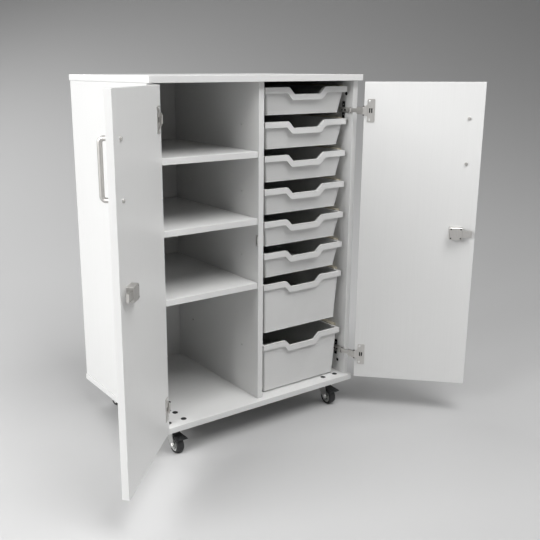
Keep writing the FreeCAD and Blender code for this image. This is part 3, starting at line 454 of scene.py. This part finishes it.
# hinge hardware, in mm
hingeFit = {
    "low": 79, "highDrop": 85,  # up from the door's foot and down from its top
    "screwAt": 15.5, "screwSpread": 55, "flange": 1.2,
    "wingBack": 59.7, "slotSpread": 31, "slotLength": 15, "slotWidth": 5.5,
    "slotGap": 0.05, "slotSteps": 8,
    "slotLiner": ((0, 1), (0.5, 1), (0.8, 0.9)),  # height and share of the slot's width, for the dark sheets of painted shade in the slots
    "armCrest": 13, "armScrews": (40, 53),  # back from the cabinet's front plane
    "pinIn": 7, "pinBack": 22.5, "cheek": 7.9,  # the pin that the link turns on in the arm
    "bendAt": -1.5, "bendOut": 2.9,  # along and out from the door's hinge edge
    "mouthNear": 15, "mouthWidth": 10, "mouthHeight": 14, "mouthFloor": -10,
    # the dark dished sheet in each cup's mouth, painted shade where the mouth falls dark
    "linerGap": 0.1, "linerTop": -0.6, "linerRim": 0.9, "linerFoot": 1.2, "linerBase": 1,
    "armCap": {"diameter": 4.6, "length": 2.2, "dish": 0.2, "chamfer": 0.5},
    "knuckle": {"diameter": 4.0, "length": 26, "dish": 0.4, "chamfer": 0.5},
    "knuckleCap": {"diameter": 5.2, "length": 2.6, "dish": 0.3, "chamfer": 0.6}, "capAt": 12.9,
    "flangeScrew": {"diameter": 7.4, "height": 1.0, "crown": 0.8, "wall": 0.3, "recess": 0.8},
    "armScrew": {"diameter": 5.6, "height": 1.2, "crown": 0.86, "wall": 0.5, "recess": 1.0},
    "wingScrew": {"diameter": 5.2, "height": 1.5, "crown": 0.8, "wall": 0.4, "recess": 1.0},
}


def hingeHeights():
    low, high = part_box("right_door")
    return hingeFit["low"], (high[2] - low[2]) / mm - hingeFit["highDrop"]


# screws, knuckles and the dark sheets of painted shade in the cups, which swing with a door
def dressLeafHinges(hand):
    fit = hingeFit
    outward = doorAxes(hand)[1]
    spots = [(onDoor(hand, fit["screwAt"], fit["flange"], z + step * fit["screwSpread"] / 2), outward)
             for z in hingeHeights() for step in (-1, 1)]
    headsPiece(f"{hand}FlangeScrews", "zinc_steel", f"{hand}_door_leaf", spots, fit["flangeScrew"])
    bends = [(onDoor(hand, fit["bendAt"], fit["bendOut"], z), Vector((0, 0, 1))) for z in hingeHeights()]
    headsPiece(f"{hand}KnucklePins", "nickel_steel", f"{hand}_links", bends, fit["knuckle"], turnedPin)
    caps = [(place + axis * step * fit["capAt"] * mm, axis) for place, axis in bends for step in (-1, 1)]
    headsPiece(f"{hand}KnuckleCaps", "dark_zinc", f"{hand}_links", caps, fit["knuckleCap"], turnedPin)
    shadeCups(hand)


# dark dished sheet in the mouth of each cup: painted shade, where the cup's mouth falls dark
def shadeCups(hand):
    fit = hingeFit
    gap, floor, top = fit["linerGap"], fit["mouthFloor"], fit["linerTop"]
    dish = (fit["linerRim"], top), (fit["linerFoot"], floor + fit["linerBase"])
    profile = ((gap, floor + gap), (gap, top), *dish)  # inset from the mouth, and depth
    form = bmesh.new()
    for z in hingeHeights():
        rings = []
        for inset, depth in profile:
            near, far = fit["mouthNear"] + inset, fit["mouthNear"] + fit["mouthWidth"] - inset
            half = fit["mouthHeight"] / 2 - inset
            corners = ((near, z - half), (far, z - half), (far, z + half), (near, z + half))
            rings.append([form.verts.new(onDoor(hand, s, depth, level)) for s, level in corners])
        skinRings(form, rings)
        capEnds(form, rings)
    finishPiece(form, f"{hand}CupShades", "dark_zinc", f"{hand}_door_leaf")


# screws and pin caps of the arms and wing plates on the cabinet's sides, and dark sheets of painted shade in
# the wing plate slots
def dressSideHinges():
    fit = hingeFit
    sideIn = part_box("right_side_panel")[0][0]
    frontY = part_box("top_panel")[0][1]
    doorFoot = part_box("right_door")[0][2]
    armSpots, wingSpots, pinSpots = [], [], []
    for sign in hands.values():
        inward = Vector((-sign, 0, 0))
        crestX = sign * (sideIn - fit["armCrest"] * mm)
        pinX = sign * (sideIn - fit["pinIn"] * mm)
        for z in hingeHeights():
            level = doorFoot + z * mm
            for back in fit["armScrews"]:
                armSpots.append((Vector((crestX, frontY + back * mm, level)), inward))
            pin = Vector((pinX, frontY + fit["pinBack"] * mm, level))
            for step in (-1, 1):
                pinSpots.append((pin + Vector((0, 0, step * fit["cheek"] * mm)), Vector((0, 0, 1))))
                slot = doorFoot + (z + step * fit["slotSpread"] / 2) * mm
                wingSpots.append((Vector((sign * sideIn, frontY + fit["wingBack"] * mm, slot)), inward))
    headsPiece("hingeArmScrews", "dark_zinc", "carcass", armSpots, fit["armScrew"])
    headsPiece("hingeArmCaps", "dark_zinc", "carcass", pinSpots, fit["armCap"], turnedPin)
    headsPiece("wingPlateScrews", "nickel_steel", "carcass", wingSpots, fit["wingScrew"])
    shadeSlots(wingSpots)


# dark sheets in the long slots of the wing plates: painted shade, where the slots fall dark
def shadeSlots(spots):
    fit = hingeFit
    form = bmesh.new()
    steps = fit["slotSteps"]
    half = fit["slotWidth"] / 2 - fit["slotGap"]
    straight = fit["slotLength"] / 2 - fit["slotWidth"] / 2
    for place, inward in spots:
        rings = []
        for height, share in fit["slotLiner"]:
            reach = half * share
            ring = []
            for end, start in ((1, 0), (-1, 180)):
                for i in range(steps + 1):
                    a = math.radians(start + 180 * i / steps)
                    across, up = reach * math.cos(a), end * straight + reach * math.sin(a)
                    ring.append(form.verts.new(place + Vector((inward.x * height, across, up)) * mm))
            rings.append(ring)
        skinRings(form, rings)
        capEnds(form, rings)
    finishPiece(form, "wingPlateLiners", "dark_zinc", "carcass")


for hand in hands:
    dressLeafHinges(hand)
dressSideHinges()
print("hinges dressed")


# rim locks and their strike plates, in mm
lockFit = {
    "middle": 495.5, "near": 273, "width": 39, "height": 38, "depth": 18, "screwInset": 5, "screwSink": 3,
    "strikeSpread": 28, "strikeBack": 29,  # the last from the cabinet's front plane
    "lipLead": 4.9, "lipHalf": 15.5, "lip": {"width": 2.8, "height": 2.2, "sink": 0.2},
    "caseScrew": {"diameter": 4.7, "height": 0.9, "crown": 0.8, "wall": 0.4, "recess": 0.8},
    "strikeScrew": {"diameter": 4.6, "height": 0.7, "crown": 0.8, "wall": 0.3, "recess": 0.6},
}


def dressLocks():
    fit = lockFit
    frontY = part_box("top_panel")[0][1]
    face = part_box("centre_divider")[1][0]
    strikeY = frontY + fit["strikeBack"] * mm
    lipY = frontY + (fit["strikeBack"] - fit["lipLead"]) * mm
    strikes = []
    lips = bmesh.new()
    for hand, sign in hands.items():
        outward = doorAxes(hand)[1]
        spots = []
        for s in (fit["near"] + fit["screwInset"], fit["near"] + fit["width"] - fit["screwInset"]):
            for step in (-1, 1):
                z = fit["middle"] + step * (fit["height"] / 2 - fit["screwInset"])
                spots.append((onDoor(hand, s, fit["depth"] - fit["screwSink"], z), outward))
        headsPiece(f"{hand}LockScrews", "dark_zinc", f"{hand}_door_leaf", spots, fit["caseScrew"])
        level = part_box(f"{hand}_door")[0][2] + fit["middle"] * mm
        for step in (-1, 1):
            place = Vector((sign * face, strikeY, level + step * fit["strikeSpread"] / 2 * mm))
            strikes.append((place, Vector((sign, 0, 0))))
        upright = Matrix(((0, 0, sign), (0, -sign, 0), (1, 0, 0))).to_4x4()  # along z, out of the divider
        seat = Matrix.Translation(Vector((sign * face, lipY, level))) @ upright @ Matrix.Scale(mm, 4)
        domedRib(lips, seat, fit["lip"], fit["lipHalf"])
    headsPiece("strikeScrews", "nickel_steel", "carcass", strikes, fit["strikeScrew"])
    finishPiece(lips, "strikeLips", "zinc_steel", "carcass")


dressLocks()
print("locks dressed")


# heads of the handle bolts on the inner faces, in mm
handleFit = {
    "middle": 775, "centres": 134, "inset": 42,
    "head": {"diameter": 9.6, "height": 4.0, "crown": 0.86, "wall": 0.84, "recess": 1.4},
}


def dressHandles():
    fit = handleFit
    for hand, sign in hands.items():
        pivotX = jointRows[f"{hand}_door_swing"]["pos_m"][0] * sign / mm
        doorWidth = pivotX - doorPlan["pivotOut"] - doorPlan["meetingGap"] / 2
        outward = doorAxes(hand)[1]
        heights = [fit["middle"] + step * fit["centres"] / 2 for step in (-1, 1)]
        spots = [(onDoor(hand, doorWidth - fit["inset"], 0, z), outward) for z in heights]
        headsPiece(f"{hand}HandleHeads", "nickel_steel", f"{hand}_door_leaf", spots, fit["head"],
                   finish=handleSteel)


dressHandles()
print("handles dressed")


# cam screws in the sides, in mm
camFit = {
    "setback": 32.5, "rise": 39.5, "sink": 1,
    "screw": {"diameter": 11.4, "height": 0.7, "crown": 0.92, "wall": 0.4, "recess": 0.6},
}


def dressCams():
    fit = camFit
    sideLow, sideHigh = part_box("right_side_panel")
    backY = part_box("back_panel")[0][1]
    spots = []
    for sign in hands.values():
        for y in (sideLow[1] + fit["setback"] * mm, backY - fit["setback"] * mm):
            for z in (sideLow[2] + fit["rise"] * mm, sideHigh[2] - fit["rise"] * mm):
                spots.append((Vector((sign * (sideLow[0] + fit["sink"] * mm), y, z)), Vector((-sign, 0, 0))))
    headsPiece("camScrews", "dark_zinc", "carcass", spots, fit["screw"])


# black caps on the castor bolts in the deck, painted shade of their counterbores, their nuts below, axle
# heads, and black plugs in the hub holes, painted shade of the gaps between the spokes, in mm
castorFit = {
    "spread": 50, "plate": 2.5, "trail": 25, "wheel": 25, "forkOut": 16, "holes": 5, "holeCircle": 22.6,
    "plug": {"diameter": 7.0, "length": 5.4, "dish": 0.8, "chamfer": 0.4},
    "cap": {"diameter": 17, "height": 0.9, "crown": 0.86, "wall": 0.4, "recess": 0.4},
    "nut": {"flats": 13.8, "height": 6.4, "thread": 8, "proud": 1.5},
    "axleHead": {"flats": 13.6, "height": 3.6, "thread": 7, "proud": 0.8},
}
castors = ("front_left", "front_right", "rear_left", "rear_right")


def dressCastors():
    fit = castorFit
    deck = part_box("bottom_panel")
    caps, nuts = [], []
    for name in castors:
        x, y, _ = jointRows[f"{name}_swivel_turn"]["pos_m"]
        for i in (-1, 1):
            for j in (-1, 1):
                spot = (x + i * fit["spread"] / 2 * mm, y + j * fit["spread"] / 2 * mm)
                caps.append((Vector((*spot, deck[1][2])), Vector((0, 0, 1))))
                nuts.append((Vector((*spot, deck[0][2] - fit["plate"] * mm)), Vector((0, 0, -1))))
        axleY, axleZ = y - fit["trail"] * mm, fit["wheel"] * mm
        ends = [(Vector((x + i * fit["forkOut"] * mm, axleY, axleZ)), Vector((i, 0, 0))) for i in (-1, 1)]
        label = labelOf(name)
        headsPiece(f"{label}AxleHeads", "zinc_steel", f"{name}_swivel", ends, fit["axleHead"], hexHead)
        # black plugs in the hub holes: painted shade, where the gaps between the spokes fall dark
        holes = []
        for i in range(fit["holes"]):
            a = math.tau * i / fit["holes"]
            spoke = Vector((0, math.cos(a), math.sin(a))) * fit["holeCircle"] / 2 * mm
            holes.append((Vector((x, axleY, axleZ)) + spoke, Vector((1, 0, 0))))
        headsPiece(f"{label}HubShades", "black_plastic", f"{name}_roller", holes, fit["plug"], turnedPin)
    # black caps on the deck bolts: painted shade, where their counterbores fall dark
    headsPiece("castorBoltCaps", "black_plastic", "carcass", caps, fit["cap"])
    headsPiece("castorNuts", "zinc_steel", "carcass", nuts, fit["nut"], hexHead)


dressCams()
dressCastors()
print("cams and castors dressed")


# grip ribs across the brake pedals, in mm from the castor's swivel and the floor
pedalFit = {
    "back": 15, "reach": 57, "top": 61, "fall": 9.2, "rows": (41, 46, 51),
    "halfSpan": 12, "flare": 0.4,  # flare in mm of half span for each mm of reach
    "rib": {"width": 1.8, "height": 1.0, "sink": 0.1},
}


def ribPedals():
    fit = pedalFit
    slope = math.atan2(fit["fall"], fit["reach"] - fit["back"])
    for name in castors[:2]:  # the front pair
        x, y, _ = jointRows[f"{name}_swivel_turn"]["pos_m"]
        form = bmesh.new()
        for row in fit["rows"]:
            height = fit["top"] - (row - fit["back"]) * math.tan(slope)
            place = Vector((x, y - row * mm, height * mm))
            seat = Matrix.Translation(place) @ Matrix.Rotation(slope, 4, "X") @ Matrix.Scale(mm, 4)
            domedRib(form, seat, fit["rib"], fit["halfSpan"] + (row - fit["rows"][0]) * fit["flare"])
        finishPiece(form, f"{labelOf(name)}PedalRibs", "black_plastic", f"{name}_brake")


ribPedals()
print("pedals ribbed")


# moulded foot bead round the base of each tray, in mm
beadFit = {
    "corner": 4, "band": 1.2, "cornerSteps": 6,
    "profile": ((-0.9, 0.3), (0.3, 0.0), (1.2, 0.3), (1.6, 1.0), (1.2, 1.8), (-0.2, 2.8)),  # out and up
}


def roundedLoop(low, high, corner, steps):
    centres = ((high[0] - corner, high[1] - corner, 0), (low[0] + corner, high[1] - corner, 90),
               (low[0] + corner, low[1] + corner, 180), (high[0] - corner, low[1] + corner, 270))
    loop = []
    for x, y, start in centres:
        for i in range(steps + 1):
            a = math.radians(start + 90 * i / steps)
            loop.append((Vector((x, y)), Vector((math.cos(a), math.sin(a)))))
    return loop


def beadTrays():
    fit = beadFit
    corner = fit["corner"] * mm
    for name, piece in nodes.items():
        if "_tray_" not in name:
            continue
        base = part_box(name)[0][2]
        band = [v.co for v in piece.data.vertices if v.co.z < base + fit["band"] * mm]
        low = [min(v[i] for v in band) for i in (0, 1)]
        high = [max(v[i] for v in band) for i in (0, 1)]
        loop = roundedLoop(low, high, corner, fit["cornerSteps"])
        form = bmesh.new()
        rings = []
        for out, up in fit["profile"]:
            ring = []
            for centre, outward in loop:
                spot = centre + outward * (corner + out * mm)
                ring.append(form.verts.new((spot.x, spot.y, base + up * mm)))
            rings.append(ring)
        skinRings(form, rings + rings[:1])
        finishPiece(form, f"{labelOf(name)}Bead", "tray_plastic", f"{name}_body")


beadTrays()
print("trays beaded")


# pale floor running up into a plain backdrop, and fading into the air beside and before the cabinet
studio = {
    "floor": "#BABABA", "roughness": 0.55, "bendSteps": 32,
    "halfWidth": 12, "near": -9, "depth": 1.2, "bend": 7, "height": 9,  # metres
    "sideFade": (3.2, 8), "nearFade": (-2.4, -7),  # metres from the middle
}
air = {"colour": "#F0F0F0", "ambient": 0.025, "seen": 0.62}  # strengths as bounced light and to the eye


# 1 where the eye looks, straight or by a reflection
def seenRays(tree):
    path = addNode(tree, "ShaderNodeLightPath", {})
    sight = addNode(tree, "ShaderNodeMath", {"operation": "ADD", "use_clamp": True},
                    {0: path.outputs["Is Camera Ray"], 1: path.outputs["Is Glossy Ray"]})
    clear = addNode(tree, "ShaderNodeMath", {"operation": "ADD", "use_clamp": True},
                    {0: sight.outputs["Value"], 1: path.outputs["Is Transmission Ray"]})
    return clear.outputs["Value"]


def studioPaper(setup):
    material, tree, surface = newMaterial("studio paper, matt", Roughness=setup["roughness"])
    surface.inputs["Base Color"].default_value = hexToLinear(setup["floor"])
    surface.inputs["Emission Color"].default_value = hexToLinear(air["colour"])
    place = addNode(tree, "ShaderNodeTexCoord", {})
    spot = addNode(tree, "ShaderNodeSeparateXYZ", {}, {"Vector": place.outputs["Object"]})
    aside = addNode(tree, "ShaderNodeMath", {"operation": "ABSOLUTE"}, {0: spot.outputs["X"]})
    fades = []
    for reach, span in ((aside.outputs["Value"], "sideFade"), (spot.outputs["Y"], "nearFade")):
        start, end = setup[span]
        fade = addNode(tree, "ShaderNodeMapRange",
                       {"From Min": start, "From Max": end, "To Max": air["seen"]}, {"Value": reach})
        fades.append(fade.outputs["Result"])
    edge = addNode(tree, "ShaderNodeMath", {"operation": "MAXIMUM"}, {0: fades[0], 1: fades[1]})
    glow = addNode(tree, "ShaderNodeMath", {"operation": "MULTIPLY"},
                   {0: edge.outputs["Value"], 1: seenRays(tree)})
    tree.links.new(glow.outputs["Value"], surface.inputs["Emission Strength"])
    return material


def buildStudio(setup):
    mesh = bpy.data.meshes.new("studioFloor")
    form = bmesh.new()
    depth, bend = setup["depth"], setup["bend"]
    path = [(setup["near"], 0), (depth, 0)]
    for i in range(1, setup["bendSteps"] + 1):
        a = math.radians(90 * i / setup["bendSteps"])
        path.append((depth + bend * math.sin(a), bend * (1 - math.cos(a))))
    path.append((depth + bend, setup["height"]))
    edges = (-setup["halfWidth"], setup["halfWidth"])
    rows = [[form.verts.new((x, y, z)) for x in edges] for y, z in path]
    for low, high in zip(rows, rows[1:]):
        form.faces.new((low[0], low[1], high[1], high[0])).smooth = True
    form.to_mesh(mesh)
    form.free()
    mesh.materials.append(studioPaper(setup))
    floor = bpy.data.objects.new("studioFloor", mesh)
    floor.rotation_euler.z = math.radians(-viewpoint["yaw"])
    scene.collection.objects.link(floor)


# soft lamps: degrees round from the front and up, metres and watts
cabinetMiddle = (0, 0, 0.5)
backFloor = (-0.4, 2.2, 0)
lamps = {
    "sideSoftbox": {
        "azimuth": -87, "elevation": 25, "distance": 4.2, "size": (2.8, 1.6), "power": 179,
        "aim": cabinetMiddle,
    },
    "frontSoftbox": {
        "azimuth": 4, "elevation": 62, "distance": 4.2, "size": (2.0, 2.8), "power": 152,
        "aim": cabinetMiddle,
    },
    "fillSoftbox": {
        "azimuth": 60, "elevation": 25, "distance": 4.2, "size": (1.6, 1.6), "power": 34,
        "aim": cabinetMiddle,
    },
    "backdropSoftbox": {
        "azimuth": 195, "elevation": 62, "distance": 3.6, "size": (2.8, 1.6), "power": 78,
        "aim": backFloor,
    },
}


def hangLamps():
    for name, setup in lamps.items():
        lamp = bpy.data.lights.new(name, "AREA")
        lamp.shape = "RECTANGLE"
        lamp.size, lamp.size_y = setup["size"]
        lamp.energy = setup["power"]
        heading, rise = math.radians(setup["azimuth"]), math.radians(setup["elevation"])
        level = math.cos(rise)
        offset = Vector((math.sin(heading) * level, -math.cos(heading) * level, math.sin(rise)))
        box = bpy.data.objects.new(name, lamp)
        box.location = Vector(setup["aim"]) + offset * setup["distance"]
        box.rotation_euler = (-offset).to_track_quat("-Z", "Y").to_euler()
        scene.collection.objects.link(box)


def fillAir():
    world = bpy.data.worlds.new("studio air")
    world.use_nodes = True
    tree = world.node_tree
    background = tree.nodes["Background"]
    background.inputs["Color"].default_value = hexToLinear(air["colour"])
    level = addNode(tree, "ShaderNodeMapRange", {"To Min": air["ambient"], "To Max": air["seen"]},
                    {"Value": seenRays(tree)})
    tree.links.new(level.outputs["Result"], background.inputs["Strength"])
    scene.world = world


buildStudio(studio)
hangLamps()
fillAir()
print("studio lit")
